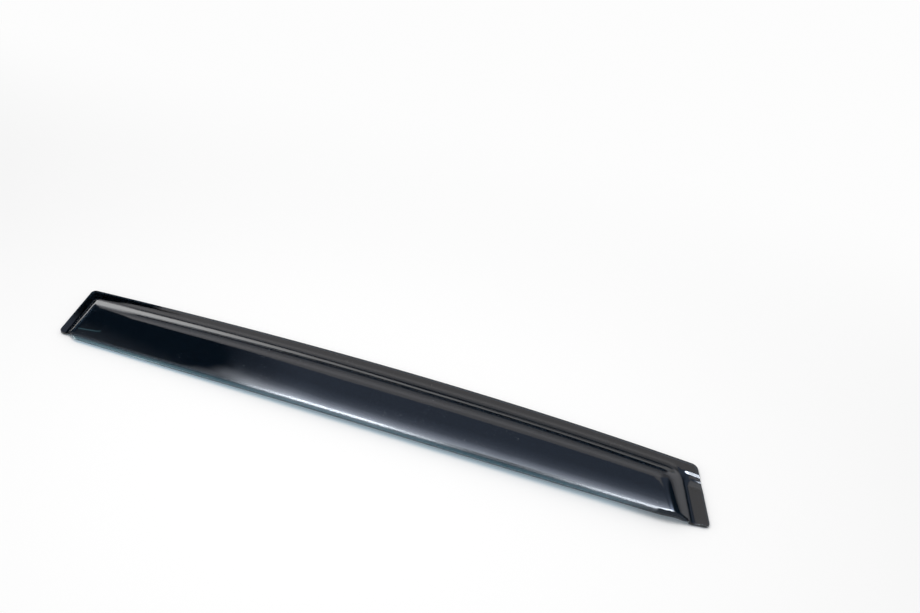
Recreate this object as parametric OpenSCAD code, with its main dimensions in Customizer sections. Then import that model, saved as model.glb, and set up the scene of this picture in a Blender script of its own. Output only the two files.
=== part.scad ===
// Window rain deflector for a rear side door: a smoked acrylic visor, thermoformed from one sheet,
// with foam mounting tape on the back of its flange. It lies on the tape, convex side up.
// +X runs along the top flange towards the rear tab, +Y towards the door frame, +Z away from the door.

/* [Outline] */
// Length of the top edge, corner to corner
top_len = 677; // [450:1:900]
// Width from the ends of the top edge to the edge of the lip
body_w = 76.4; // [66:0.1:110]
// Rise of the arched top edge over its ends
arch_rise = 11.9; // [0:0.1:25]
// How much the arch stands higher in its rear half than in its front half
arch_skew = 1.8; // [0:0.1:4]
// Lean of the front end, top corner outward
front_lean = 5; // [0:0.5:12]
// Lean of the rear end, bottom corner outward
rear_lean = 23.5; // [0:0.5:32]
// Radius of the two corners of the top edge
top_corner_r = 5; // [2:0.1:9]
// Radius of the bottom corners of the front flange and the rear tab
tip_r = 3; // [1:0.1:5]
// How far the foot of the front flange stays back from the line of the lip
front_relief = 5; // [0:0.1:6]
// How far the foot of the rear tab stays back from the line of the lip
rear_relief = 7; // [0:0.1:9]

/* [Flange] */
// Width of the top flange
flange_w = 12.6; // [11:0.1:18]
// Width of the front flange
front_w = 10.6; // [10:0.1:16]
// Width of the rear tab
tab_w = 17.5; // [14:0.1:26]

/* [Face] */
// Height of the middle of the face over the flange at the front end
front_h = 9.2; // [7:0.1:14]
// Height of the middle of the face over the flange halfway along
mid_h = 10.1; // [7:0.1:18]
// Height of the middle of the face over the flange at the rear end
rear_h = 10.8; // [7:0.1:18]
// Lean of the face down to the lip at the front end
lean_front = 8; // [0:0.5:10]
// Lean of the face down to the lip from halfway along to the rear
lean_rear = 0.8; // [0:0.1:4]
// Slope of the riser along the top flange at its front end
riser_slope_front = 26; // [24:0.5:45]
// Slope of the riser along the top flange at its rear end
riser_slope_rear = 29.5; // [24:0.5:45]
// Slope of the riser at the front end
front_slope = 45; // [35:1:46]
// Slope of the riser at the rear tab
tab_slope = 34; // [25:1:38]
// Fall of the bowed face at its upper side
bow_upper = 3.5; // [2:0.5:12]
// Fall of the bowed face at the lip
bow_lower = 6.5; // [2:0.5:14]

/* [Blends] */
// Blend where the top riser turns into the tab riser
corner_blend = 5; // [3:0.5:12]
// Blend where the top riser turns into the front riser
front_blend = 2.5; // [1:0.5:8]
// Blend from the risers into the face
crown_blend = 5.2; // [3:0.1:9]
// Blend from the flange into the risers
foot_blend = 2.4; // [1.4:0.1:2.6]

/* [Lip] */
// Height of the turned-down lip
lip_h = 4.3; // [3:0.1:8]
// Slope of the turned-down lip
lip_slope = 80; // [70:1:82]
// Outer radius of the bend from the face into the lip
bend_r = 4.5; // [4.4:0.1:6]

/* [Crease] */
// Depth of the crease that divides the rear tab from the top flange
crease_depth = 0.8; // [0.2:0.1:0.9]
// Height of the ridge below the crease, as a share of its depth
crease_ridge = 0.45; // [0:0.05:0.5]
// Width of the crease
crease_w = 8; // [7.8:0.1:9]
// Distance of the crease from the top edge
crease_drop = 15; // [13:0.5:24]

/* [Sheet] */
// Thickness of the acrylic sheet
wall = 2.5; // [1.8:0.1:2.6]
// Rounding of the trimmed edge
edge_r = 0.4; // [0.2:0.1:0.8]

/* [Tape] */
// Width of the tape on the top flange
top_tape_w = 8.5; // [5:0.1:9]
// Width of the tape on the front flange
front_tape_w = 6.5; // [4:0.1:7]
// Width of the tape on the rear tab
tab_tape_w = 12; // [6:0.1:12.5]
// Thickness of the foam tape
tape_t = 1.1; // [1:0.1:2]
// Distance from the edge of the sheet to the tape
tape_inset = 1.2; // [0.8:0.1:2]
// Gap between two lengths of tape
tape_gap = 2; // [0.5:0.1:4]

/* [Hidden] */

// Height of the upper side of the flange over the surface that the part lies on
flange_z = tape_t + wall;
// Length over which the foot of each end joins the line of the lip
front_relief_run = 14;
rear_relief_run = 52;
// Blend from the lip that reaches the level of the flange into the lip of full height
lip_end_blend = 1;
// Middle and half width of the ridge below the crease, in widths of the crease
ridge_at = 0.75;
ridge_half = 1.2;
// Step used to read the slope of the surface
probe = 0.05;
// Spacing of the mesh lines over the risers, the front riser and the length of the face
riser_step = 2.2;
front_step = 1.5;
face_step = 24;

// Smooth least and greatest of two heights, blended over k
function blend_min(a, b, k) =
    let (h = max(k - abs(a - b), 0) / k) min(a, b) - h * h * k / 4;
function blend_max(a, b, k) = -blend_min(-a, -b, k);
function ease(t) = let (c = min(max(t, 0), 1)) c * c * (3 - 2 * c);
function mix(a, b, t) = a + (b - a) * t;

// Plan of the sheet, with the top edge's ends at y = 0
function top_y(x) = let (t = 2 * x / top_len - 1) (1 - t * t) * (arch_rise + arch_skew * t);
function front_x(y) = -y * tan(front_lean);
function rear_x(y) = top_len - y * tan(rear_lean);
function lip_y(x) =
    let (
        from_front = x - front_x(-body_w) - front_w,
        from_rear = rear_x(-body_w) - x
    )
    -body_w + front_relief * (1 - ease(from_front / front_relief_run))
        + rear_relief * (1 - ease(from_rear / rear_relief_run));

// Height of the face of the sheet over the flange at a point of the plan
function crown(x, y) =
    let (
        upper = top_y(x) - flange_w,
        middle = (upper + lip_y(x)) / 2,
        half = (upper - lip_y(x)) / 2,
        t = (y - middle) / half,
        along = x / top_len,
        swell = front_h + (mid_h - front_h) * sin(90 * min(max(along * 2, 0), 1)),
        height = swell + (rear_h - mid_h) * ease((along - 0.6) / 0.4),
        lean = mix(lean_front, lean_rear, ease(along * 2))
    )
    height + tan(lean) * half * t - tan(t > 0 ? bow_upper : bow_lower) * half * t * t / 2;
function risers(x, y) =
    let (
        slope = mix(riser_slope_front, riser_slope_rear, min(max(x / top_len, 0), 1)),
        top = tan(slope) * (top_y(x) - y - flange_w),
        front = tan(front_slope) * ((x - front_x(y)) * cos(front_lean) - front_w),
        rear = tan(tab_slope) * ((rear_x(y) - x) * cos(rear_lean) - tab_w)
    )
    blend_min(blend_min(top, rear, corner_blend), front, front_blend);
// The crease is a groove across the tab, with a low ridge along its lower side
function crease(x, y) =
    let (
        across = (top_y(x) - crease_drop - y) / crease_w,
        along = (x - rear_x(y)) * cos(rear_lean) / tab_w + 1,
        groove = ease(1 - 2 * abs(across)),
        ridge = crease_ridge * ease(ridge_half - 2 * abs(across - ridge_at))
    )
    crease_depth * (groove - ridge) * ease(along * 2.5);
function raised(x, y) = blend_max(blend_min(risers(x, y), crown(x, y), crown_blend), 0, foot_blend);
// Fall of the lip under the face: an arc of bend_r, and then straight down at lip_slope.
// It ends at lip_h, or at the level of the flange where the face is lower than that.
function lip_fall(x, y) =
    let (
        edge = lip_y(x),
        fall = blend_min(max(raised(x, edge), 0), lip_h, lip_end_blend),
        arc_fall = bend_r * (1 - cos(lip_slope)),
        turn = fall < arc_fall ? acos(1 - fall / bend_r) : lip_slope,
        straight = max(fall - arc_fall, 0) / tan(lip_slope),
        start = straight + bend_r * sin(turn),
        d = y - edge
    )
    d >= start ? 0
        : d >= straight ? bend_r - sqrt(bend_r * bend_r - pow(start - d, 2))
        : bend_r * (1 - cos(turn)) + (straight - d) * tan(turn);
function height(x, y) = raised(x, y) - lip_fall(x, y) - crease(x, y);
function normal(x, y) =
    let (
        gx = (height(x + probe, y) - height(x - probe, y)) / (2 * probe),
        gy = (height(x, y + probe) - height(x, y - probe)) / (2 * probe)
    )
    [-gx, -gy, 1] / norm([gx, gy, 1]);

// Lines of the mesh, as distances in from the ends and from the top edge and the lip.
// They lie close together where the sheet bends.
function steps(from, to, step) =
    let (n = max(round((to - from) / step), 1)) [for (i = [1:n]) from + (to - from) * i / n];
function corner_steps(r) = [edge_r, for (a = [25, 45, 65, 90]) edge_r + (r - edge_r) * (1 - cos(a))];
riser_slope = min(riser_slope_front, riser_slope_rear);
riser_run = max(front_h, mid_h, rear_h) / tan(riser_slope);
tab_run = max(front_h, mid_h, rear_h) / tan(tab_slope);
front_run = max(front_h, mid_h) / tan(front_slope);
foot_run = foot_blend / tan(riser_slope);
crown_run = crown_blend / tan(riser_slope);
lip_run = max(front_h, mid_h, rear_h) / tan(lip_slope);

front_lines = let (foot = front_w - foot_run, top = front_w + front_run + crown_blend)
    concat(corner_steps(top_corner_r), steps(top_corner_r, foot, 3), steps(foot, top, front_step),
        steps(top, top + 14, 5));
rear_lines = let (foot = tab_w - foot_run, top = tab_w + tab_run + crown_run / 2)
    concat(corner_steps(top_corner_r), steps(top_corner_r, foot, 4), steps(foot, top, riser_step),
        steps(top, top + 18, 6)) / cos(rear_lean);
top_lines = let (foot = flange_w - foot_run, top = flange_w + riser_run + crown_run / 2)
    concat([edge_r], steps(edge_r, foot, 3), steps(foot, top, riser_step));
lip_lines = let (low = lip_run * 0.6, high = lip_run + bend_r)
    concat([edge_r / 3], steps(edge_r / 3, low, 0.6), steps(low, high, 0.65), steps(high, high + 9, 3));

columns = let (n = ceil(top_len / face_step))
    concat([for (d = front_lines) [d, 0]], [for (i = [1:n]) [i / (n + 1), 2]],
        [for (i = [len(rear_lines) - 1:-1:0]) [rear_lines[i], 1]]);
rows = let (n = 3)
    concat([for (d = lip_lines) [d, 0]], [for (i = [1:n]) [i / (n + 1), 2]],
        [for (i = [len(top_lines) - 1:-1:0]) [top_lines[i], 1]]);
last_column = len(columns) - 1;
last_row = len(rows) - 1;

// Distance of column i from its end of the sheet. At the border it is inset.
function column_d(i, inset) = i == 0 || i == last_column ? inset : columns[i][0];
// How far a corner of radius r draws column i in along y, so that its edge follows an arc
function corner_cut(r, i, inset) =
    let (d = column_d(i, inset))
    columns[i][1] == 2 || d >= r ? 0 : r - inset - sqrt(max(pow(r - inset, 2) - pow(r - d, 2), 0));

// Point of the plan on column i and row j. At the border, inset is how far it lies in from the edge.
// Where the sheet is steep at the lip, that distance runs mostly down and not across.
function row_y(x, i, j, inset) =
    let (
        low = lip_y(x) + corner_cut(tip_r, i, inset),
        high = top_y(x) - corner_cut(top_corner_r, i, inset),
        d = j == 0 ? inset * normal(x, lip_y(x))[2] : j == last_row ? inset : rows[j][0],
        low_end = low + lip_lines[len(lip_lines) - 1],
        high_end = high - top_lines[len(top_lines) - 1]
    )
    rows[j][1] == 0 ? low + d : rows[j][1] == 1 ? high - d : mix(low_end, high_end, d);
function column_x(y, i, inset) =
    let (
        d = column_d(i, inset),
        front_end = front_x(y) + front_lines[len(front_lines) - 1],
        rear_end = rear_x(y) - rear_lines[len(rear_lines) - 1]
    )
    columns[i][1] == 0 ? front_x(y) + d : columns[i][1] == 1 ? rear_x(y) - d : mix(front_end, rear_end, d);
// Each turn moves the point along its row to its column, as both ends lean
function plan(i, j, inset, x, turns = 3) =
    let (y = row_y(x, i, j, inset))
    turns == 0 ? [x, y] : plan(i, j, inset, column_x(y, i, inset), turns - 1);
function skin(i, j, inset, depth) =
    let (
        start = columns[i][1] == 2 ? columns[i][0] : columns[i][1],
        p = plan(i, j, inset, start * top_len)
    )
    [p[0], p[1], height(p[0], p[1])] - depth * normal(p[0], p[1]);

// The border of the mesh as one loop, anticlockwise from above
border = concat([for (i = [0:last_column - 1]) [i, 0]], [for (j = [0:last_row - 1]) [last_column, j]],
    [for (i = [last_column:-1:1]) [i, last_row]], [for (j = [last_row:-1:1]) [0, j]]);

// The origin is at the middle of the part's box, on the surface that it lies on
edge_points = [for (b = border) each [skin(b[0], b[1], edge_r, 0), skin(b[0], b[1], 0, edge_r)]];
function middle_of(k) = (min([for (p = edge_points) p[k]]) + max([for (p = edge_points) p[k]])) / 2;
centre = [middle_of(0), middle_of(1), -flange_z];

// The thermoformed sheet: outer skin, inner skin one wall below it, and the rounded cut edge between
module visor() {
    across = last_row + 1;
    count = (last_column + 1) * across;
    around = len(border);
    points = concat(
        [for (i = [0:last_column], j = [0:last_row]) skin(i, j, edge_r, 0)],
        [for (i = [0:last_column], j = [0:last_row]) skin(i, j, edge_r, wall)],
        [for (b = border) skin(b[0], b[1], 0, edge_r)],
        [for (b = border) skin(b[0], b[1], 0, wall - edge_r)]
    );
    function at(i, j) = i * across + j;
    cells = [for (i = [0:last_column - 1], j = [0:last_row - 1]) [i, j]];
    upper = [for (c = cells, f = [[1, 0, 0], [0, 1, 1]])
        f[0] == 1 ? [at(c[0], c[1]), at(c[0], c[1] + 1), at(c[0] + 1, c[1])]
            : [at(c[0] + 1, c[1]), at(c[0], c[1] + 1), at(c[0] + 1, c[1] + 1)]];
    lower = [for (f = upper) [f[2] + count, f[1] + count, f[0] + count]];
    rim = [for (k = [0:around - 1], side = [0:2])
        let (
            next = (k + 1) % around,
            a = border[k], b = border[next],
            outer = [at(a[0], a[1]), at(b[0], b[1])],
            ring1 = [2 * count + k, 2 * count + next],
            ring2 = [2 * count + around + k, 2 * count + around + next],
            inner = outer + [count, count],
            hi = [outer, ring1, ring2][side],
            lo = [ring1, ring2, inner][side]
        )
        each [[hi[0], hi[1], lo[0]], [hi[1], lo[1], lo[0]]]];
    color([0.09, 0.12, 0.14]) translate(-centre) polyhedron(points, concat(upper, lower, rim));
}

// Foam tape on the back of the flange, from the table up to the sheet
module tape(points) {
    color([0.05, 0.05, 0.055]) translate(-centre) translate([0, 0, -flange_z]) linear_extrude(tape_t)
        polygon(points);
}

// Ends of a strip across the plan, at distance s under the top edge
function strip_front(y, inset) = front_x(y) + inset / cos(front_lean);
function strip_rear(y, inset) = rear_x(y) - inset / cos(rear_lean);
function top_strip(s, n) =
    let (
        inset = tape_inset + top_corner_r / 3,
        x0 = strip_front(top_y(0) - s, inset),
        x1 = strip_rear(top_y(top_len) - s, inset)
    )
    [for (k = [0:n]) let (x = mix(x0, x1, k / n)) [x, top_y(x) - s]];

module top_tape() {
    upper = top_strip(tape_inset, 32);
    lower = top_strip(tape_inset + top_tape_w, 32);
    tape(concat([for (k = [32:-1:0]) upper[k]], lower));
}

// The end strips start under the top strip and stop short of the foot of their flange
strip_top = -tape_inset - top_tape_w - tape_gap;
function strip_foot(relief) = relief - body_w + tape_inset + tip_r / 2;

module front_tape() {
    wide = tape_inset + front_tape_w;
    foot = strip_foot(front_relief);
    tape([
        [strip_front(foot, tape_inset), foot], [strip_front(foot, wide), foot],
        [strip_front(strip_top, wide), strip_top], [strip_front(strip_top, tape_inset), strip_top]
    ]);
}

// The tab's strip starts past the crease and its ridge
module tab_tape() {
    wide = tape_inset + tab_tape_w;
    foot = strip_foot(rear_relief);
    under_crease = min(-crease_drop - crease_w * (ridge_at + ridge_half / 2) - tape_gap / 2, strip_top);
    tape([
        [strip_rear(foot, wide), foot], [strip_rear(foot, tape_inset), foot],
        [strip_rear(under_crease, tape_inset), under_crease], [strip_rear(under_crease, wide), under_crease]
    ]);
}

visor();
top_tape();
front_tape();
tab_tape();
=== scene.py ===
import math

import bpy
import numpy as np
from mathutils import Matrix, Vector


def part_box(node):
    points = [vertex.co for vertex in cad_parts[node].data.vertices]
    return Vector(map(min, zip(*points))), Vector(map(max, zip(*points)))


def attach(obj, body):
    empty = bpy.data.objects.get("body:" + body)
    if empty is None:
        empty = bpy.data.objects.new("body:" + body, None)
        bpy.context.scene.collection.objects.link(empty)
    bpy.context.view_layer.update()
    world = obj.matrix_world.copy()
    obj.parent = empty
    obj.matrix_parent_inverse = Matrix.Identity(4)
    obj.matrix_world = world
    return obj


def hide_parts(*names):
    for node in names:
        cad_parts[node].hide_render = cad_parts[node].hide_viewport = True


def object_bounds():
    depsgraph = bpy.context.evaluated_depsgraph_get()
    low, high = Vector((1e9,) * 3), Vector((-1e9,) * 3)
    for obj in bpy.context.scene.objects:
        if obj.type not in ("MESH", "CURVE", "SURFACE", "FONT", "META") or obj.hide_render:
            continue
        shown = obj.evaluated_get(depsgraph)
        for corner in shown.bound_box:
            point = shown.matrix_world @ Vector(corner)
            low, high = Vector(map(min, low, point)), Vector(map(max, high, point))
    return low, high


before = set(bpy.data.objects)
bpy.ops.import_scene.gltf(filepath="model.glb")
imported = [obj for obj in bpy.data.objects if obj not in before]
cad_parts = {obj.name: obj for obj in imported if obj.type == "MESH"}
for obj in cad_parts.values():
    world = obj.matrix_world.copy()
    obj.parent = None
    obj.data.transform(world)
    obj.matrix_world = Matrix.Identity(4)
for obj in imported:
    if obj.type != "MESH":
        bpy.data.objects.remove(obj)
cad_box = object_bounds()

# Visor
# The deflector itself is one sheet of smoked, blue-green cast acrylic, 2.5 mm thick. It is heated and drawn
# over a form, which gives the raised face, the tight bend and the turned-down lip, and is then trimmed with
# a lightly rounded edge. Its flat flange and rear tab are left at the level of the door.
MM = 0.001
TOP_LENGTH = 677 * MM
WIDTH = 76.4 * MM
ARCH_RISE = 11.9 * MM
ARCH_SKEW = 1.8 * MM
FRONT_LEAN = math.tan(math.radians(5))
REAR_LEAN = math.tan(math.radians(23.5))
TOP_CORNER = 5 * MM
FOOT_CORNER = 5 * MM
FRONT_FOOT_RISE = 5 * MM
FRONT_FOOT_RUN = 14 * MM
TAB_FOOT_RISE = 7 * MM
TAB_FOOT_RUN = 52 * MM
FLANGE_WIDTH = 12.6 * MM
FRONT_WIDTH = 10.6 * MM
TAB_WIDTH = 16.2 * MM
FACE_HEIGHT_FRONT = 9.2 * MM
FACE_HEIGHT_MIDDLE = 10.1 * MM
FACE_HEIGHT_REAR = 10.8 * MM
FACE_LEAN_FRONT = 8
FACE_LEAN_REAR = 0.8
FACE_BOW_UPPER = math.tan(math.radians(3.5))
FACE_BOW_LOWER = math.tan(math.radians(6.5))
# Shares of the length: where the face's lean and height settle, and where it lifts again towards the rear.
FACE_SETTLES_AT = 0.5
FACE_LIFTS_FROM = 0.6
TOP_RISER_FRONT = 26
TOP_RISER_REAR = 29.5
FRONT_RISER = math.tan(math.radians(45))
TAB_RISER = math.tan(math.radians(36))
# The top riser starts with a short and less steep step, which changes along the deflector.
STEP_RISE = math.tan(math.radians(21.5))
STEP_PLACES = np.array((0, 120, 180, 220, 280, 400, 500, 600, 680)) * MM
STEP_SETBACKS = np.array((0, 0, 0.2, 0.4, 0.8, 1.8, 1.2, 0.6, 0.4)) * MM
STEP_RUNS = np.array((0.8, 1.5, 2, 2.5, 3.5, 7, 5, 5, 5)) * MM
STEP_BLEND = 0.3 * MM
CORNER_BLEND = 11 * MM
FRONT_BLEND = 3.8 * MM
CROWN_BLEND = 5.2 * MM
CROWN_POWER = 2
FOOT_BLEND = 3 * MM
LIP_HEIGHT = 4.3 * MM
LIP_END_BLEND = 1.5 * MM
LIP_START = 1.4 * MM
LIP_STARTS_OVER = (0.93 * TOP_LENGTH, 0.98 * TOP_LENGTH)
LIP_ANGLE = math.radians(80)
BEND_RADIUS = 4.5 * MM
# Places down the tab are in widths of the crease, and places across it are shares of the tab's width.
CREASE_DEPTH = 0.8 * MM
CREASE_WIDTH = 8 * MM
CREASE_DROP = 15 * MM
CREASE_STEP = (-0.5, 0.0)
CREASE_RETURN = (0.75, 1.85)
CREASE_FADE = (0.0, 0.4)
RIDGE_SHARE = 0.45
RIDGE_PLACE = 0.42
RIDGE_HALF = 0.3125
RIDGE_FROM = 0.375
SHEET = 2.5 * MM
EDGE_ROUND = 0.16 * MM
EDGE_STEPS = 4
PROBE = 0.05 * MM


def ease(t):
    t = np.clip(t, 0, 1)
    return t * t * (3 - 2 * t)


def ease_over(value, span):
    start, end = span
    return ease((value - start) / (end - start))


def soft_min(a, b, reach, power=3):
    overlap = np.maximum(reach - np.abs(a - b), 0) / reach
    return np.minimum(a, b) - overlap ** power * reach / (2 * power)


def soft_max(a, b, reach):
    return -soft_min(-a, -b, reach)


def top_edge(x):
    """The y of the arched top edge. x and y start at its front corner, and z at the face of the flange."""
    along = 2 * x / TOP_LENGTH - 1
    return (1 - along ** 2) * (ARCH_RISE + ARCH_SKEW * along)


def front_end(y):
    return -y * FRONT_LEAN


def rear_end(y):
    return TOP_LENGTH - y * REAR_LEAN


def in_from_front(x, y):
    return (x - front_end(y)) / math.hypot(1, FRONT_LEAN)


def in_from_rear(x, y):
    return (rear_end(y) - x) / math.hypot(1, REAR_LEAN)


def lip_edge(x):
    """The y of the free edge, which draws in a little at both ends."""
    from_front = x - front_end(-WIDTH) - FRONT_WIDTH
    from_rear = rear_end(-WIDTH) - x
    front_foot = FRONT_FOOT_RISE * (1 - ease(from_front / FRONT_FOOT_RUN))
    tab_foot = TAB_FOOT_RISE * (1 - ease(from_rear / TAB_FOOT_RUN))
    return -WIDTH + front_foot + tab_foot


def bowed_face(x, y):
    """The height of the face, which leans at the front and bows more on its lip side."""
    upper = top_edge(x) - FLANGE_WIDTH
    middle = (upper + lip_edge(x)) / 2
    half = (upper - lip_edge(x)) / 2
    across = (y - middle) / half
    along = x / TOP_LENGTH
    swell = np.sin(math.pi / 2 * np.clip(along / FACE_SETTLES_AT, 0, 1))
    lift = ease_over(along, (FACE_LIFTS_FROM, 1))
    height = FACE_HEIGHT_FRONT + (FACE_HEIGHT_MIDDLE - FACE_HEIGHT_FRONT) * swell
    height = height + (FACE_HEIGHT_REAR - FACE_HEIGHT_MIDDLE) * lift
    lean = np.radians(FACE_LEAN_FRONT + (FACE_LEAN_REAR - FACE_LEAN_FRONT) * ease(along / FACE_SETTLES_AT))
    bow = np.where(across > 0, FACE_BOW_UPPER, FACE_BOW_LOWER)
    return height + np.tan(lean) * half * across - bow * half * across ** 2 / 2


def risers(x, y):
    """The three slopes inside the flange, blended where they meet, as if they rose without end."""
    along = np.clip(x / TOP_LENGTH, 0, 1)
    slope = np.tan(np.radians(TOP_RISER_FRONT + (TOP_RISER_REAR - TOP_RISER_FRONT) * along))
    inward = top_edge(x) - y - FLANGE_WIDTH
    setback = np.interp(x, STEP_PLACES, STEP_SETBACKS)
    run = np.interp(x, STEP_PLACES, STEP_RUNS)
    step = STEP_RISE * (inward - run) + slope * (run - setback)
    top = soft_max(step, slope * (inward - setback), STEP_BLEND)
    front = FRONT_RISER * (in_from_front(x, y) - FRONT_WIDTH)
    tab = TAB_RISER * (in_from_rear(x, y) - TAB_WIDTH)
    return soft_min(soft_min(top, tab, CORNER_BLEND), front, FRONT_BLEND)


def raised(x, y):
    return soft_max(soft_min(risers(x, y), bowed_face(x, y), CROWN_BLEND, CROWN_POWER), 0, FOOT_BLEND)


def crease(x, y):
    """The depth of the crease across the tab: a shallow trough with a low ridge, deeper towards the end."""
    down = (top_edge(x) - CREASE_DROP - y) / CREASE_WIDTH
    outward = 1 - in_from_rear(x, y) / TAB_WIDTH
    trough = ease_over(down, CREASE_STEP) - ease_over(down, CREASE_RETURN)
    ridge_fade = np.clip((outward - RIDGE_FROM) / (1 - RIDGE_FROM), 0, 1)
    ridge = RIDGE_SHARE * ease(1 - np.abs(down - RIDGE_PLACE) / RIDGE_HALF) * ridge_fade
    return CREASE_DEPTH * (trough - ridge) * ease_over(outward, CREASE_FADE)


def lip_profile(x):
    """How far the lip turns down at x, and how wide its straight part and its bend are in plan. Near the tab
    it starts only where the sheet stands higher than LIP_START."""
    start = LIP_START * ease_over(x, LIP_STARTS_OVER)
    fall = soft_min(np.maximum(raised(x, lip_edge(x)) - start, 0), LIP_HEIGHT, LIP_END_BLEND)
    bend_fall = BEND_RADIUS * (1 - math.cos(LIP_ANGLE))
    turn = np.where(fall < bend_fall, np.arccos(np.clip(1 - fall / BEND_RADIUS, -1, 1)), LIP_ANGLE)
    straight = np.maximum(fall - bend_fall, 0) / math.tan(LIP_ANGLE)
    return turn, straight, BEND_RADIUS * np.sin(turn)


def lip_fall(x, y):
    turn, straight, bend = lip_profile(x)
    inward = y - lip_edge(x)
    reach = np.clip(straight + bend - inward, 0, BEND_RADIUS)
    arc = BEND_RADIUS - np.sqrt(BEND_RADIUS ** 2 - reach ** 2)
    drop = BEND_RADIUS * (1 - np.cos(turn)) + (straight - inward) * np.tan(turn)
    return np.where(inward >= straight + bend, 0, np.where(inward >= straight, arc, drop))


def surface(x, y):
    return raised(x, y) - lip_fall(x, y) - crease(x, y)


def surface_normal(x, y):
    slope_x = (surface(x + PROBE, y) - surface(x - PROBE, y)) / (2 * PROBE)
    slope_y = (surface(x, y + PROBE) - surface(x, y - PROBE)) / (2 * PROBE)
    normal = np.stack([-slope_x, -slope_y, np.ones_like(slope_x)], axis=-1)
    return normal / np.linalg.norm(normal, axis=-1, keepdims=True)


def spaced(*stops):
    """Distances from 0 through each (stop, step), as close together as that step."""
    lines = [0.0]
    for stop, step in stops:
        count = max(round((stop - lines[-1]) / step), 1)
        lines += list(np.linspace(lines[-1], stop, count + 1)[1:])
    return np.array(lines)


# The grid follows the four edges, so that its lines run along the risers, the bend and the lip.
FRONT_LINES = spaced((TOP_CORNER, 0.5 * MM), (8 * MM, 1 * MM), (26 * MM, 0.5 * MM), (40 * MM, 1.4 * MM))
REAR_LINES = spaced((TOP_CORNER, 0.5 * MM), (16 * MM, 1 * MM), (46 * MM, 0.8 * MM), (62 * MM, 1.8 * MM))
TOP_LINES = spaced((TOP_CORNER, 0.6 * MM), (9 * MM, 1.2 * MM), (38 * MM, 0.85 * MM))
MIDDLE_COLUMNS = 230
MIDDLE_ROWS = 8
STRAIGHT_ROWS = 4
BEND_ROWS = 18
AFTER_BEND = 9 * MM
AFTER_BEND_ROWS = 5
LEAST_SPACING = 0.12 * MM
LIP_ROWS = STRAIGHT_ROWS + 1 + BEND_ROWS + AFTER_BEND_ROWS
COLUMNS = len(FRONT_LINES) + MIDDLE_COLUMNS + len(REAR_LINES)
ROWS = LIP_ROWS + MIDDLE_ROWS + len(TOP_LINES)
GRID_ROUNDS = 4


def lip_lines(x):
    """Distances of the lip's rows from its edge at x: the straight part, the bend, and the face after it."""
    turn, straight, bend = lip_profile(x)
    lines = [straight * k / STRAIGHT_ROWS for k in range(STRAIGHT_ROWS + 1)]
    for k in range(1, BEND_ROWS + 1):
        lines.append(straight + bend - BEND_RADIUS * np.sin(turn * (1 - k / BEND_ROWS)))
    for k in range(1, AFTER_BEND_ROWS + 1):
        lines.append(straight + bend + AFTER_BEND * k / AFTER_BEND_ROWS)
    return np.array([line + LEAST_SPACING * k for k, line in enumerate(lines)])


def square_plan():
    """Plan points of the grid with square corners. Each round sets the rows, then the columns on them."""
    x = np.tile(np.linspace(0, TOP_LENGTH, COLUMNS)[:, None], (1, ROWS))
    y = np.tile(np.linspace(-WIDTH, 0, ROWS)[None, :], (COLUMNS, 1))
    along = np.arange(1, MIDDLE_COLUMNS + 1) / (MIDDLE_COLUMNS + 1)
    up = np.arange(1, MIDDLE_ROWS + 1) / (MIDDLE_ROWS + 1)
    first_middle, first_rear = len(FRONT_LINES), -len(REAR_LINES)
    first_top = LIP_ROWS + MIDDLE_ROWS
    for _ in range(GRID_ROUNDS):
        from_lip = lip_lines(x[:, 0])
        low = lip_edge(x[:, 0])
        high = top_edge(x[:, -1])
        face_low = low + from_lip[-1]
        face_high = high - TOP_LINES[-1]
        y[:, :LIP_ROWS] = (low + from_lip).T
        y[:, LIP_ROWS:first_top] = face_low[:, None] + (face_high - face_low)[:, None] * up
        y[:, first_top:] = high[:, None] - TOP_LINES[::-1]
        front, rear = front_end(y), rear_end(y)
        near_front = (front + FRONT_LINES[-1])[0]
        near_rear = (rear - REAR_LINES[-1])[0]
        x[:first_middle] = front[:first_middle] + FRONT_LINES[:, None]
        x[first_middle:first_rear] = near_front + (near_rear - near_front) * along[:, None]
        x[first_rear:] = rear[first_rear:] - REAR_LINES[::-1, None]
    return x, y


def rounded_corner(d, e, radius):
    """Draws two distances from the edges of a square corner in to an arc of that radius."""
    a = np.clip(1 - d / radius, 0, 1)
    b = np.clip(1 - e / radius, 0, 1)
    both = (a > 0) & (b > 0)
    drawn_d = np.where(both, radius * (1 - a * np.sqrt(1 - b * b / 2)), d)
    drawn_e = np.where(both, radius * (1 - b * np.sqrt(1 - a * a / 2)), e)
    return drawn_d, drawn_e


def inset_from_edge(distance, inset, radius):
    return np.where(distance < radius, inset + (1 - inset / radius) * distance, distance)


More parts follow.
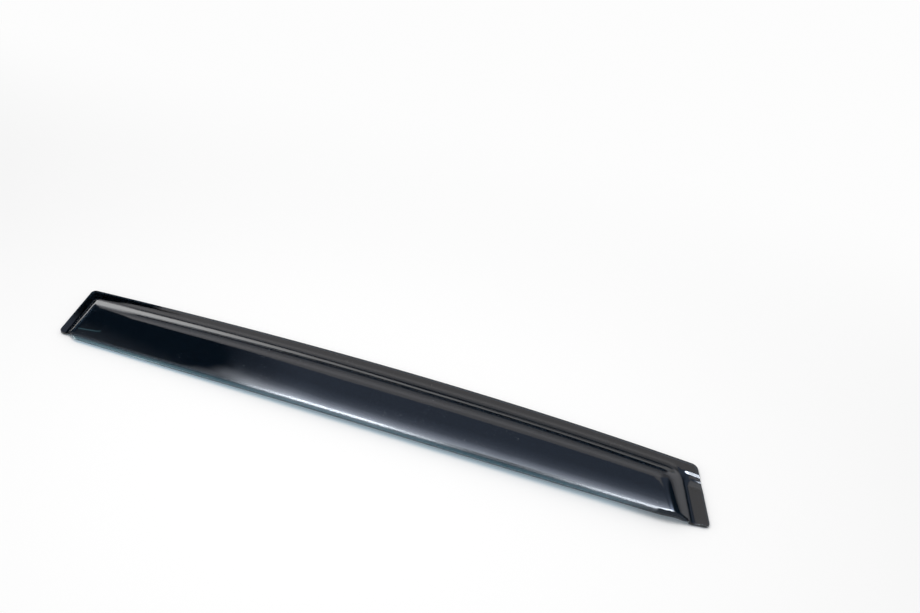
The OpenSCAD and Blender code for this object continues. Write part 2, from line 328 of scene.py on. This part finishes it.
def plan_of_sheet(inset=0.0):
    """Plan points of the grid with rounded corners, and with its border drawn in by inset."""
    x, y = square_plan()
    from_front, from_rear = x - front_end(y), rear_end(y) - x
    under_top, over_lip = top_edge(x) - y, y - lip_edge(x)
    from_front, under_top = rounded_corner(from_front, under_top, TOP_CORNER)
    from_rear, under_top = rounded_corner(from_rear, under_top, TOP_CORNER)
    from_front, over_lip = rounded_corner(from_front, over_lip, FOOT_CORNER)
    from_rear, over_lip = rounded_corner(from_rear, over_lip, FOOT_CORNER)

    level = surface_normal(x[:, 0], lip_edge(x[:, 0]))[:, 2]
    from_front = inset_from_edge(from_front, inset, TOP_CORNER)
    from_rear = inset_from_edge(from_rear, inset, TOP_CORNER)
    under_top = inset_from_edge(under_top, inset, TOP_CORNER)
    over_lip = inset_from_edge(over_lip, inset * level[:, None], FOOT_CORNER)
    upper_half = np.arange(ROWS) >= LIP_ROWS + MIDDLE_ROWS / 2
    y = np.where(upper_half[None, :], top_edge(x) - under_top, lip_edge(x) + over_lip)
    rear_half = np.arange(COLUMNS) >= COLUMNS / 2
    x = np.where(rear_half[:, None], rear_end(y) - from_rear, front_end(y) + from_front)
    return x, y


def skin(x, y, depth):
    return np.stack([x, y, surface(x, y)], axis=-1) - depth * surface_normal(x, y)


def border_of(grid):
    """The border of a grid as one loop, anticlockwise from above."""
    return np.concatenate([grid[:-1, 0], grid[-1, :-1], grid[:0:-1, -1], grid[0, :0:-1]])


def edge_rings(x, y):
    """Rings of points down the cut edge, over its two small rounds, from the outer skin to the inner one."""
    edge_x, edge_y = (border_of(grid) for grid in plan_of_sheet())
    in_x, in_y = border_of(x), border_of(y)
    angles = [math.pi / 2 * k / EDGE_STEPS for k in range(1, EDGE_STEPS + 1)]
    outer_round = [(1 - math.sin(angle), EDGE_ROUND * (1 - math.cos(angle))) for angle in angles]
    inner_round = [(share, SHEET - depth) for share, depth in reversed(outer_round)]
    rings = []
    for share, depth in outer_round + inner_round:
        rings.append(skin(edge_x + (in_x - edge_x) * share, edge_y + (in_y - edge_y) * share, depth))
    return rings


def sheet_mesh(name):
    """The closed sheet: outer skin, inner skin one thickness below it, and the rounded cut edge."""
    x, y = plan_of_sheet(EDGE_ROUND)
    rings = edge_rings(x, y)
    skins = [skin(x, y, 0), skin(x, y, SHEET)]
    points = np.concatenate([part.reshape(-1, 3) for part in skins + rings])
    box_middle = np.mean([tuple(corner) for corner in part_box("visor")], axis=0)
    points += box_middle - (points.min(axis=0) + points.max(axis=0)) / 2

    index = np.arange(x.size).reshape(x.shape)
    corners = [index[:-1, :-1], index[1:, :-1], index[1:, 1:], index[:-1, 1:]]
    outer = np.stack(corners, axis=-1).reshape(-1, 4)
    inner = outer[:, ::-1] + x.size
    border = border_of(index)
    ring_starts = 2 * x.size + len(border) * np.arange(len(rings))
    loops = [border, *(start + np.arange(len(border)) for start in ring_starts), border + x.size]
    faces = [outer, inner]
    for high, low in zip(loops, loops[1:]):
        faces.append(np.stack([high, low, np.roll(low, -1), np.roll(high, -1)], axis=-1))
    faces = np.concatenate(faces)

    mesh = bpy.data.meshes.new(name)
    mesh.from_pydata(points.tolist(), [], faces.tolist())
    mesh.polygons.foreach_set("use_smooth", np.ones(len(faces), dtype=bool))
    mesh.update()
    normals = np.array([v.vector for v in mesh.vertex_normals])
    up = surface_normal(x, y).reshape(-1, 3)
    normals[:x.size] = up
    normals[x.size:2 * x.size] = -up
    mesh.normals_split_custom_set_from_vertices(normals.tolist())
    return mesh


def add_node(tree, kind, settings=None, inputs=None):
    """A node with its settings, and with each input set to a value or linked to another node's output."""
    node = tree.nodes.new(kind)
    for key, value in (settings or {}).items():
        setattr(node, key, value)
    for key, value in (inputs or {}).items():
        if isinstance(value, bpy.types.NodeSocket):
            tree.links.new(value, node.inputs[key])
        else:
            node.inputs[key].default_value = value
    return node


def math_node(tree, operation, first, *others):
    """One operation on a single value, or on several in turn."""
    for value in others or (0.0,):
        first = add_node(tree, "ShaderNodeMath", {"operation": operation}, {0: first, 1: value}).outputs[0]
    return first


def ramp_node(tree, value, low, high, out_low=0.0, out_high=1.0, smooth=True):
    kind = "SMOOTHSTEP" if smooth else "LINEAR"
    inputs = {"Value": value, "From Min": low, "From Max": high, "To Min": out_low, "To Max": out_high}
    return add_node(tree, "ShaderNodeMapRange", {"interpolation_type": kind}, inputs).outputs["Result"]


def noise_node(tree, vector, scale, detail=2.0, roughness=0.5):
    inputs = {"Vector": vector, "Scale": scale, "Detail": detail, "Roughness": roughness}
    return add_node(tree, "ShaderNodeTexNoise", {}, inputs).outputs["Fac"]


def mix_colour(tree, factor, a, b):
    return add_node(tree, "ShaderNodeMix", {"data_type": "RGBA"}, {0: factor, 6: a, 7: b}).outputs[2]


def mix_shader(tree, factor, a, b):
    return add_node(tree, "ShaderNodeMixShader", {}, {0: factor, 1: a, 2: b}).outputs[0]


def level_curve(tree, value, levels):
    """A colour ramp through (place, level) pairs, for a value from the first place to the last."""
    low, high = levels[0][0], levels[-1][0]
    top = max(level for _, level in levels)
    position = ramp_node(tree, value, low, high, smooth=False)
    ramp = add_node(tree, "ShaderNodeValToRGB", {}, {"Fac": position})
    stops = ramp.color_ramp.elements
    while len(stops) < len(levels):
        stops.new(0.5)
    for stop, (at, level) in zip(stops, levels):
        stop.position = (at - low) / (high - low)
        stop.color = (level / top, level / top, level / top, 1)
    return math_node(tree, "MULTIPLY", ramp.outputs[0], top)


def object_place(tree):
    """A point's place on the piece, whole and as its three parts."""
    place = add_node(tree, "ShaderNodeTexCoord").outputs["Object"]
    return place, *add_node(tree, "ShaderNodeSeparateXYZ", {}, {0: place}).outputs


def new_material(name):
    material = bpy.data.materials.new(name)
    material.use_nodes = True
    material.node_tree.nodes.clear()
    return material, material.node_tree


# The lip is given a lighter tint than the face, most of all at its front half, and lets more light through.
# The lighter tint is painted light that stands in for light reaching the table behind the lip.
FACE_TINT = (0.022, 0.036, 0.055, 1)
PAINTED_LIP_TINT_FRONT = (0.58, 0.74, 0.77, 1)
PAINTED_LIP_TINT_REAR = (0.26, 0.40, 0.46, 1)
FACE_SHADE = (0.24, 0.30, 0.34, 1)
LIP_SHADE = (0.54, 0.68, 0.76, 1)
PAINTED_LIP_LIGHT_ACROSS = (-40.2 * MM, -41.3 * MM)
PAINTED_LIP_LIGHT_FROM_FRONT = (-345 * MM, -318 * MM)
PAINTED_LIP_LIGHT_TO_REAR = (255 * MM, 315 * MM, 1, 0)
FRONT_TO_REAR = (-300 * MM, -100 * MM)
ACRYLIC_IOR = 1.49
GLOSS_ROUGHNESS = (0.006, 0.028)
RIPPLE_SCALE = 26
RIPPLE_HEIGHT = 0.06 * MM

# Dust lies in loose patches and the surface is rubbed lengthways. A short teal line that starts at the front
# riser is painted light: a glint of light passing through the sheet, put on as a mark.
DUST_COLOUR = (0.30, 0.32, 0.33, 1)
DUST_ROUGHNESS = 0.6
SPECK_SCALE = 900
SPECK_SPAN = (0.74, 0.80)
PATCH_SCALE = 22
PATCH_SPAN = (0.45, 0.70)
RUB_SCALE = (14, 420, 420)
RUB_DETAIL = 5
RUB_ROUGHNESS = 0.65
RUB_SPAN = (0.50, 0.80)
RUB_SHARE = 0.002
# Painted light: a teal glint of light passing through the sheet near the front end, painted on as a mark.
PAINTED_GLINT_COLOUR = (0.10, 0.24, 0.27, 1)
PAINTED_GLINT_SHARE = 0.45
PAINTED_GLINT_Y = -32.5 * MM
PAINTED_GLINT_POINTS = ((-326, 0), (-318.9, 0.7), (-312, 1.6), (-305, 2.5), (-299.9, 4.2))
PAINTED_GLINT_LINE = [(along * MM, up * MM) for along, up in PAINTED_GLINT_POINTS]
PAINTED_GLINT_START = (-327 * MM, -325 * MM)
PAINTED_GLINT_STOP = (-301 * MM, -299 * MM, 1, 0)
PAINTED_GLINT_SIDE = (0.3 * MM, 0.9 * MM, PAINTED_GLINT_SHARE, 0)
PAINTED_GLINT_TINT_SPAN = (0, 0.05)


def painted_glint_share(tree, along, across):
    """How strongly a point takes the painted glint, a line of light seen through the sheet, which runs along
    a slightly bent line.
    """
    scuff_y = math_node(tree, "ADD", level_curve(tree, along, PAINTED_GLINT_LINE), PAINTED_GLINT_Y)
    off_line = math_node(tree, "ABSOLUTE", math_node(tree, "SUBTRACT", across, scuff_y))
    return math_node(tree, "MULTIPLY", ramp_node(tree, off_line, *PAINTED_GLINT_SIDE),
                     ramp_node(tree, along, *PAINTED_GLINT_STOP), ramp_node(tree, along, *PAINTED_GLINT_START))


def smoked_acrylic():
    """Tinted acrylic, dark over the face, with a lighter tint painted on the lip for the light that reaches
    under it, and with dust, lengthways rubbing and a painted glint near the front.
    """
    material, tree = new_material("smoked_acrylic")
    place, along, across, _ = object_place(tree)
    # Painted light: where the lip takes its lighter tint, which stands in for light reaching the table behind
    # it.
    painted_lip_light = math_node(tree, "MULTIPLY", ramp_node(tree, across, *PAINTED_LIP_LIGHT_ACROSS),
                     ramp_node(tree, along, *PAINTED_LIP_LIGHT_TO_REAR), ramp_node(tree, along, *PAINTED_LIP_LIGHT_FROM_FRONT))
    painted_lip_tint = mix_colour(tree, ramp_node(tree, along, *FRONT_TO_REAR), PAINTED_LIP_TINT_FRONT, PAINTED_LIP_TINT_REAR)
    tint = mix_colour(tree, painted_lip_light, FACE_TINT, painted_lip_tint)
    shade = mix_colour(tree, painted_lip_light, FACE_SHADE, LIP_SHADE)

    specks = ramp_node(tree, noise_node(tree, place, SPECK_SCALE, detail=1), *SPECK_SPAN)
    patches = ramp_node(tree, noise_node(tree, place, PATCH_SCALE, detail=3), *PATCH_SPAN)
    dust = math_node(tree, "MULTIPLY", specks, patches)
    painted_glint = painted_glint_share(tree, along, across)
    dust_and_painted_glint = math_node(tree, "MAXIMUM", dust, painted_glint)
    dust_and_glint_colour = mix_colour(tree, ramp_node(tree, painted_glint, *PAINTED_GLINT_TINT_SPAN), DUST_COLOUR, PAINTED_GLINT_COLOUR)

    lengthways = add_node(tree, "ShaderNodeMapping", {}, {"Vector": place, "Scale": RUB_SCALE}).outputs[0]
    rubbed = ramp_node(tree, noise_node(tree, lengthways, 1.0, RUB_DETAIL, RUB_ROUGHNESS), *RUB_SPAN)
    gloss = ramp_node(tree, rubbed, 0, 1, *GLOSS_ROUGHNESS, smooth=False)
    roughness = math_node(tree, "MAXIMUM", gloss, math_node(tree, "MULTIPLY", dust, DUST_ROUGHNESS))
    ripple = noise_node(tree, place, RIPPLE_SCALE, detail=1)
    height = math_node(tree, "ADD", ripple, math_node(tree, "MULTIPLY", rubbed, RUB_SHARE))
    bump = add_node(tree, "ShaderNodeBump", {},
                    {"Strength": 1.0, "Distance": RIPPLE_HEIGHT, "Height": height})

    plastic = add_node(tree, "ShaderNodeBsdfPrincipled", {}, {
        "Base Color": mix_colour(tree, dust_and_painted_glint, tint, dust_and_glint_colour),
        "Roughness": roughness,
        "IOR": ACRYLIC_IOR,
        "Transmission Weight": math_node(tree, "SUBTRACT", 1.0, dust_and_painted_glint),
        "Normal": bump.outputs[0],
    })
    clear = add_node(tree, "ShaderNodeBsdfTransparent", {}, {"Color": shade})
    path = add_node(tree, "ShaderNodeLightPath")
    passing = math_node(tree, "MAXIMUM", path.outputs["Is Shadow Ray"], path.outputs["Is Diffuse Ray"])
    sheet = mix_shader(tree, passing, plastic.outputs[0], clear.outputs[0])
    add_node(tree, "ShaderNodeOutputMaterial", {}, {"Surface": sheet})
    return material


visor = bpy.data.objects.new("visor_sheet", sheet_mesh("visor_sheet"))
bpy.context.scene.collection.objects.link(visor)
visor.data.materials.append(smoked_acrylic())
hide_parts("visor")
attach(visor, "root")

# Mounting tape
# Three strips of black closed-cell acrylic foam, 1.1 mm thick, stuck on the back of the flange before the
# deflector is pressed on to the door frame. The foam shows fine pores and is a little shiny at its skin.
FOAM_DARK = (0.012, 0.012, 0.013, 1)
FOAM_PALE = (0.035, 0.035, 0.038, 1)
CELL_SCALE = 2600
CELL_WALL_SPAN = (0.1, 0.65)
CELL_DEPTH = 0.2 * MM
CELL_STRENGTH = 0.5
FOAM_MOTTLE_SCALE = 340
FOAM_ROUGHNESS = (0.2, 0.8, 0.62, 0.88)


def foam():
    material, tree = new_material("black_foam")
    place = add_node(tree, "ShaderNodeTexCoord").outputs["Object"]
    cells = add_node(tree, "ShaderNodeTexVoronoi", {}, {"Vector": place, "Scale": CELL_SCALE})
    walls = ramp_node(tree, cells.outputs["Distance"], *CELL_WALL_SPAN)
    mottle = noise_node(tree, place, FOAM_MOTTLE_SCALE, detail=4)
    bump = add_node(tree, "ShaderNodeBump", {"invert": True},
                    {"Strength": CELL_STRENGTH, "Distance": CELL_DEPTH, "Height": walls})
    rubber = add_node(tree, "ShaderNodeBsdfPrincipled", {}, {
        "Base Color": mix_colour(tree, math_node(tree, "MULTIPLY", walls, mottle), FOAM_PALE, FOAM_DARK),
        "Roughness": ramp_node(tree, mottle, *FOAM_ROUGHNESS, smooth=False),
        "Normal": bump.outputs[0],
    })
    add_node(tree, "ShaderNodeOutputMaterial", {}, {"Surface": rubber.outputs[0]})
    return material


foam_material = foam()
for strip in ("top_tape", "front_tape", "tab_tape"):
    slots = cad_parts[strip].data.materials
    slots.clear()
    slots.append(foam_material)

# Floor
# A broad sheet of matt white board, which the deflector lies on with its tape down. In the deflector's gloss
# it shows a painted reflection: a glowing strip, seen by glossy rays only, behind the top flange and past
# both ends, brightest at the front, and dark beyond. To the camera it fades to a plain pale background away
# from the deflector.
FLOOR_SIZE = 8.0
FLOOR_COLOUR = (0.97, 0.97, 0.97, 1)
BACKGROUND = (0.98, 0.98, 0.98, 1)
GRAIN_SCALE = 900
GRAIN_HEIGHT = 0.1 * MM
GRAIN_STRENGTH = 0.05
# Each span is a start and an end in metres, and the level at either where that isn't 0 and 1.
GLOSS_SHOWS_FROM = (0.030, 0.040)
STRIP_BEHIND = (0.090, 0.098, 1, 0)
STRIP_AT_FRONT = (-0.38, -0.34, 1, 0)
STRIP_AT_REAR = (0.27, 0.31)
STRIP_LEVEL_FRONT = (-0.34, -0.03, 1.60, 0.60)
STRIP_LEVEL_REAR = (-0.03, 0.20, 0, -0.20)
PALE_BEHIND = (0.06, 0.50)
PALE_AROUND = (0.55, 1.0)


def matt_board():
    material, tree = new_material("matt_white_board")
    place, along, beyond, _ = object_place(tree)
    path = add_node(tree, "ShaderNodeLightPath")
    bump = add_node(tree, "ShaderNodeBump", {}, {
        "Strength": GRAIN_STRENGTH,
        "Distance": GRAIN_HEIGHT,
        "Height": noise_node(tree, place, GRAIN_SCALE, detail=3),
    })
    board = add_node(tree, "ShaderNodeBsdfDiffuse", {}, {"Color": FLOOR_COLOUR, "Normal": bump.outputs[0]})

    span = add_node(tree, "ShaderNodeVectorMath", {"operation": "LENGTH"}, {0: place}).outputs["Value"]
    far_away = math_node(tree, "MAXIMUM", ramp_node(tree, beyond, *PALE_BEHIND),
                         ramp_node(tree, span, *PALE_AROUND))
    far_away = math_node(tree, "MULTIPLY", far_away, path.outputs["Is Camera Ray"])
    pale = add_node(tree, "ShaderNodeEmission", {}, {"Color": BACKGROUND})
    seen = mix_shader(tree, far_away, board.outputs[0], pale.outputs[0])

    # Painted reflection: the board glows in this strip for glossy rays only, standing in for a lit room that
    # the deflector mirrors.
    level = math_node(tree, "ADD", ramp_node(tree, along, *STRIP_LEVEL_FRONT),
                      ramp_node(tree, along, *STRIP_LEVEL_REAR))
    lit = math_node(tree, "MAXIMUM", ramp_node(tree, beyond, *STRIP_BEHIND),
                    ramp_node(tree, along, *STRIP_AT_FRONT), ramp_node(tree, along, *STRIP_AT_REAR))
    strip = add_node(tree, "ShaderNodeEmission", {}, {"Strength": math_node(tree, "MULTIPLY", level, lit)})
    not_through = math_node(tree, "SUBTRACT", 1.0, path.outputs["Is Transmission Ray"])
    painted_reflection_share = math_node(tree, "MULTIPLY", path.outputs["Is Glossy Ray"],
                         ramp_node(tree, beyond, *GLOSS_SHOWS_FROM), not_through)
    surface_shown = mix_shader(tree, painted_reflection_share, seen, strip.outputs[0])
    add_node(tree, "ShaderNodeOutputMaterial", {}, {"Surface": surface_shown})
    return material


floor_mesh = bpy.data.meshes.new("floor")
half_floor = FLOOR_SIZE / 2
floor_corners = [(-half_floor, -half_floor, 0), (half_floor, -half_floor, 0),
                 (half_floor, half_floor, 0), (-half_floor, half_floor, 0)]
floor_mesh.from_pydata(floor_corners, [], [(0, 1, 2, 3)])
floor_mesh.materials.append(matt_board())
floor = bpy.data.objects.new("floor", floor_mesh)
floor.location.z = cad_box[0][2]
bpy.context.scene.collection.objects.link(floor)

# Light
# A white room for what the camera sees directly and through the sheet. For the gloss it holds a wide soft
# bank overhead, a dim wall behind the object and dark gaps between, and all else is lit at one plain level.
ROOM_LEVEL = 0.63
WHITE = (1, 1, 1, 1)
WALL_TINT = (1.0, 0.985, 1.01, 1)
HAZE_TINT = (0.80, 0.96, 1.30, 1)
BANK_TINT = (0.92, 0.99, 1.10, 1)
# A direction is given in degrees: its rise from the far side up and over, and its turn to the right. The
# first two tables are levels over the rise, and the next two the bank's share over the turn, low and high up.
WALL_LEVELS = ((0, 0), (7.5, 0.01), (9.5, 0.28), (14, 0.38), (20, 0.55), (24, 0.75), (30, 1.05), (35, 1.35),
               (41, 1.15), (44, 1.0), (50, 1.15))
BANK_LEVELS = ((44, 0.42), (53, 0.46), (56, 0.75), (58, 1.3), (60, 3.8), (62, 8.5), (64, 12.5), (70, 15),
               (113, 14), (120, 5), (130, 2.5), (150, 1.4), (175, 0.9))
BANK_LOW = ((-30, 0.03), (-28, 0.07), (-27, 0.11), (-26, 0.25), (-25, 0.5), (-24, 0.8), (-23, 1.0),
            (7, 1.0), (13, 0.05), (20, 0))
BANK_HIGH = ((-30, 0.05), (-28, 0.12), (-27.5, 0.22), (-26.8, 0.5), (-26.2, 0.78), (-25.4, 1.05),
             (-24, 1.6), (-19.3, 1.6), (-18.8, 1.2), (-18.2, 1.05), (-17.2, 0.75), (-16.2, 0.38),
             (-15.3, 0.22), (-13.7, 0.15), (-12.7, 0.22), (-11.6, 0.38), (-10.5, 0.62), (-9.5, 1.0),
             (-7, 1.25), (-4, 2.6), (8, 2.6), (14, 1), (20, 0.02))
# The turn of the flag's edge past FLAG_FROM, over the rise.
FLAG_FROM = -62
FLAG_EDGE = ((0, 28.2), (11, 28.6), (22, 29.0), (30, 30.0), (37, 30.5), (43, 31.0), (45.8, 33.2),
             (46.1, 33.2), (46.42, 31.4), (47, 33), (50, 35.6), (53, 35.7), (60, 35.1), (65, 33.8),
             (70, 31.8), (75, 29), (80, 25), (85, 19), (90, 9))
FLAG_SOFT_EDGE = (-0.35, 0.35, 1, 0)
# Each span is a start and an end, and the value at either where that isn't 0 and 1.
WALL_TOP = 46.95
WALL_TOP_STEP = (-7.5, -6.3, 0, 2.6)
WALL_TOP_DROP = (-4.4, -2.8, 0, -12)
WALL_TOP_FALL = (-2.8, 9, 0, -15)
WALL_SOFT_TOP = (-0.25, 0.25)
BANK_LOWERED = (-3, 15, 0, 18)
LOW_TO_HIGH = (59, 67)
HAZE_TO_BANK = (54, 64)
NEAR_RIGHT_TURN = (-7, -6)
NEAR_RIGHT_RISE = (84, 96)
NEAR_RIGHT_LEVEL = 0.6
RIGHT_WALL_TURN = (0, 4)
RIGHT_WALL_RISE = (13, 18, 1, 0)
RIGHT_WALL_LEVEL = 0.8
CORNER_TURN = (-3, 2)
CORNER_RISE = (15, 20)
CORNER_LEVEL = 0.45
OPEN_END_TURN = (-32.2, -31.2, 1, 0)
OPEN_END_RISE = (0, 15, 1.3, 0.6)
CEILING_RISE = (65, 80, 0, 0.40)
LEFT_PATCH_BOTTOM = (47.2, 48.4, 0, 0.45)
LEFT_PATCH_TOP = (50, 52, 1, 0)
LEFT_PATCH_START = (-35, -34)
LEFT_PATCH_STOP = (-32.8, -32.5, 1, 0)
# The softbox hangs over the object and gives the light that isn't gloss.
SOFTBOX_WIDTH = 1.2
SOFTBOX_DEPTH = 0.8
SOFTBOX_POWER = 8.3
SOFTBOX_PLACE = (0, -0.1, 1.3)
SOFTBOX_TILT = math.radians(4)


def blend_values(tree, share, a, b):
    kept = math_node(tree, "MULTIPLY", math_node(tree, "SUBTRACT", 1.0, share), a)
    return math_node(tree, "ADD", kept, math_node(tree, "MULTIPLY", share, b))


def region(tree, rise, turn, rise_span, turn_span):
    return math_node(tree, "MULTIPLY", ramp_node(tree, turn, *turn_span), ramp_node(tree, rise, *rise_span))


def lit_wall(tree, rise, turn):
    """The wall behind the object. It is plain at the right, lighter low down there, and open at the left."""
    wall = level_curve(tree, rise, WALL_LEVELS)
    right = region(tree, rise, turn, RIGHT_WALL_RISE, RIGHT_WALL_TURN)
    wall = blend_values(tree, right, wall, RIGHT_WALL_LEVEL)
    corner = region(tree, rise, turn, CORNER_RISE, CORNER_TURN)
    wall = blend_values(tree, corner, wall, CORNER_LEVEL)
    return math_node(tree, "MAXIMUM", wall, region(tree, rise, turn, OPEN_END_RISE, OPEN_END_TURN))


def soft_bank(tree, rise, turn):
    """The bank overhead, which comes down at the right, where its near part is left out."""
    lowered = math_node(tree, "ADD", rise, ramp_node(tree, turn, *BANK_LOWERED, smooth=False))
    share = blend_values(tree, ramp_node(tree, rise, *LOW_TO_HIGH), level_curve(tree, turn, BANK_LOW),
                         level_curve(tree, turn, BANK_HIGH))
    bank = math_node(tree, "MULTIPLY", level_curve(tree, lowered, BANK_LEVELS), share)
    near_right = region(tree, rise, turn, NEAR_RIGHT_RISE, NEAR_RIGHT_TURN)
    return blend_values(tree, near_right, bank, NEAR_RIGHT_LEVEL)


def over_wall(tree, rise, turn):
    """How far a direction clears the wall's top edge, which drops to the right."""
    fall = ramp_node(tree, turn, *WALL_TOP_FALL, smooth=False)
    top = math_node(tree, "ADD", WALL_TOP, ramp_node(tree, turn, *WALL_TOP_STEP),
                    ramp_node(tree, turn, *WALL_TOP_DROP), fall)
    return ramp_node(tree, math_node(tree, "SUBTRACT", rise, top), *WALL_SOFT_TOP)


def behind_flag(tree, rise, turn):
    """How far a direction is hidden by the dark flag at the left, which has a rounded edge."""
    edge = math_node(tree, "ADD", level_curve(tree, rise, FLAG_EDGE), FLAG_FROM)
    return ramp_node(tree, math_node(tree, "SUBTRACT", turn, edge), *FLAG_SOFT_EDGE)


def gloss_of_room(tree, rise, turn):
    """The colour that the gloss mirrors in a direction."""
    over = over_wall(tree, rise, turn)
    lit = blend_values(tree, over, lit_wall(tree, rise, turn), soft_bank(tree, rise, turn))
    patch = math_node(tree, "MULTIPLY", ramp_node(tree, rise, *LEFT_PATCH_BOTTOM),
                      ramp_node(tree, rise, *LEFT_PATCH_TOP), ramp_node(tree, turn, *LEFT_PATCH_STOP),
                      ramp_node(tree, turn, *LEFT_PATCH_START))
    flagged = math_node(tree, "ADD", ramp_node(tree, rise, *CEILING_RISE), patch)
    level = blend_values(tree, behind_flag(tree, rise, turn), lit, flagged)
    upper_tint = mix_colour(tree, ramp_node(tree, rise, *HAZE_TO_BANK), HAZE_TINT, BANK_TINT)
    tint = mix_colour(tree, over, WALL_TINT, upper_tint)
    colour = add_node(tree, "ShaderNodeVectorMath", {"operation": "SCALE"}, {0: tint, "Scale": level})
    return colour.outputs[0]


def studio_world():
    world = bpy.data.worlds.new("studio")
    world.use_nodes = True
    tree = world.node_tree
    tree.nodes.clear()
    direction = add_node(tree, "ShaderNodeTexCoord").outputs["Generated"]
    x, y, z = add_node(tree, "ShaderNodeSeparateXYZ", {}, {0: direction}).outputs
    rise = math_node(tree, "DEGREES", math_node(tree, "ARCTAN2", z, y))
    turn = math_node(tree, "DEGREES", math_node(tree, "ARCSINE", x))
    path = add_node(tree, "ShaderNodeLightPath")
    plain = (ROOM_LEVEL, ROOM_LEVEL, ROOM_LEVEL, 1)
    room = mix_colour(tree, path.outputs["Is Glossy Ray"], plain, gloss_of_room(tree, rise, turn))
    seen = math_node(tree, "MAXIMUM", path.outputs["Is Camera Ray"], path.outputs["Is Transmission Ray"])
    colour = mix_colour(tree, seen, room, WHITE)
    background = add_node(tree, "ShaderNodeBackground", {}, {"Color": colour, "Strength": 1.0})
    add_node(tree, "ShaderNodeOutputWorld", {}, {"Surface": background.outputs[0]})
    return world


bpy.context.scene.world = studio_world()
softbox = bpy.data.lights.new("softbox", "AREA")
softbox.shape = "RECTANGLE"
softbox.size = SOFTBOX_WIDTH
softbox.size_y = SOFTBOX_DEPTH
softbox.energy = SOFTBOX_POWER
softbox_object = bpy.data.objects.new("softbox", softbox)
softbox_object.location = SOFTBOX_PLACE
softbox_object.rotation_euler = (SOFTBOX_TILT, 0, 0)
softbox_object.visible_glossy = False
softbox_object.visible_transmission = False
bpy.context.scene.collection.objects.link(softbox_object)

# Camera
# It looks down on the deflector from its lip side and a little from the tab end, 40 degrees over the table.
PHOTO_WIDTH = 920
FOCAL_PIXELS = 1300
SENSOR_WIDTH = 36
CAMERA_PLACE = (0.44177, -0.83027, 0.90439)
CAMERA_TILT = math.radians(50)
CAMERA_TURN = math.radians(22.645)
camera = bpy.data.cameras.new("camera")
camera.sensor_width = SENSOR_WIDTH
camera.lens = FOCAL_PIXELS / PHOTO_WIDTH * SENSOR_WIDTH
camera_object = bpy.data.objects.new("camera", camera)
camera_object.location = CAMERA_PLACE
camera_object.rotation_euler = (CAMERA_TILT, 0, CAMERA_TURN)
bpy.context.scene.collection.objects.link(camera_object)
bpy.context.scene.camera = camera_object
bpy.context.scene.view_settings.view_transform = "Standard"
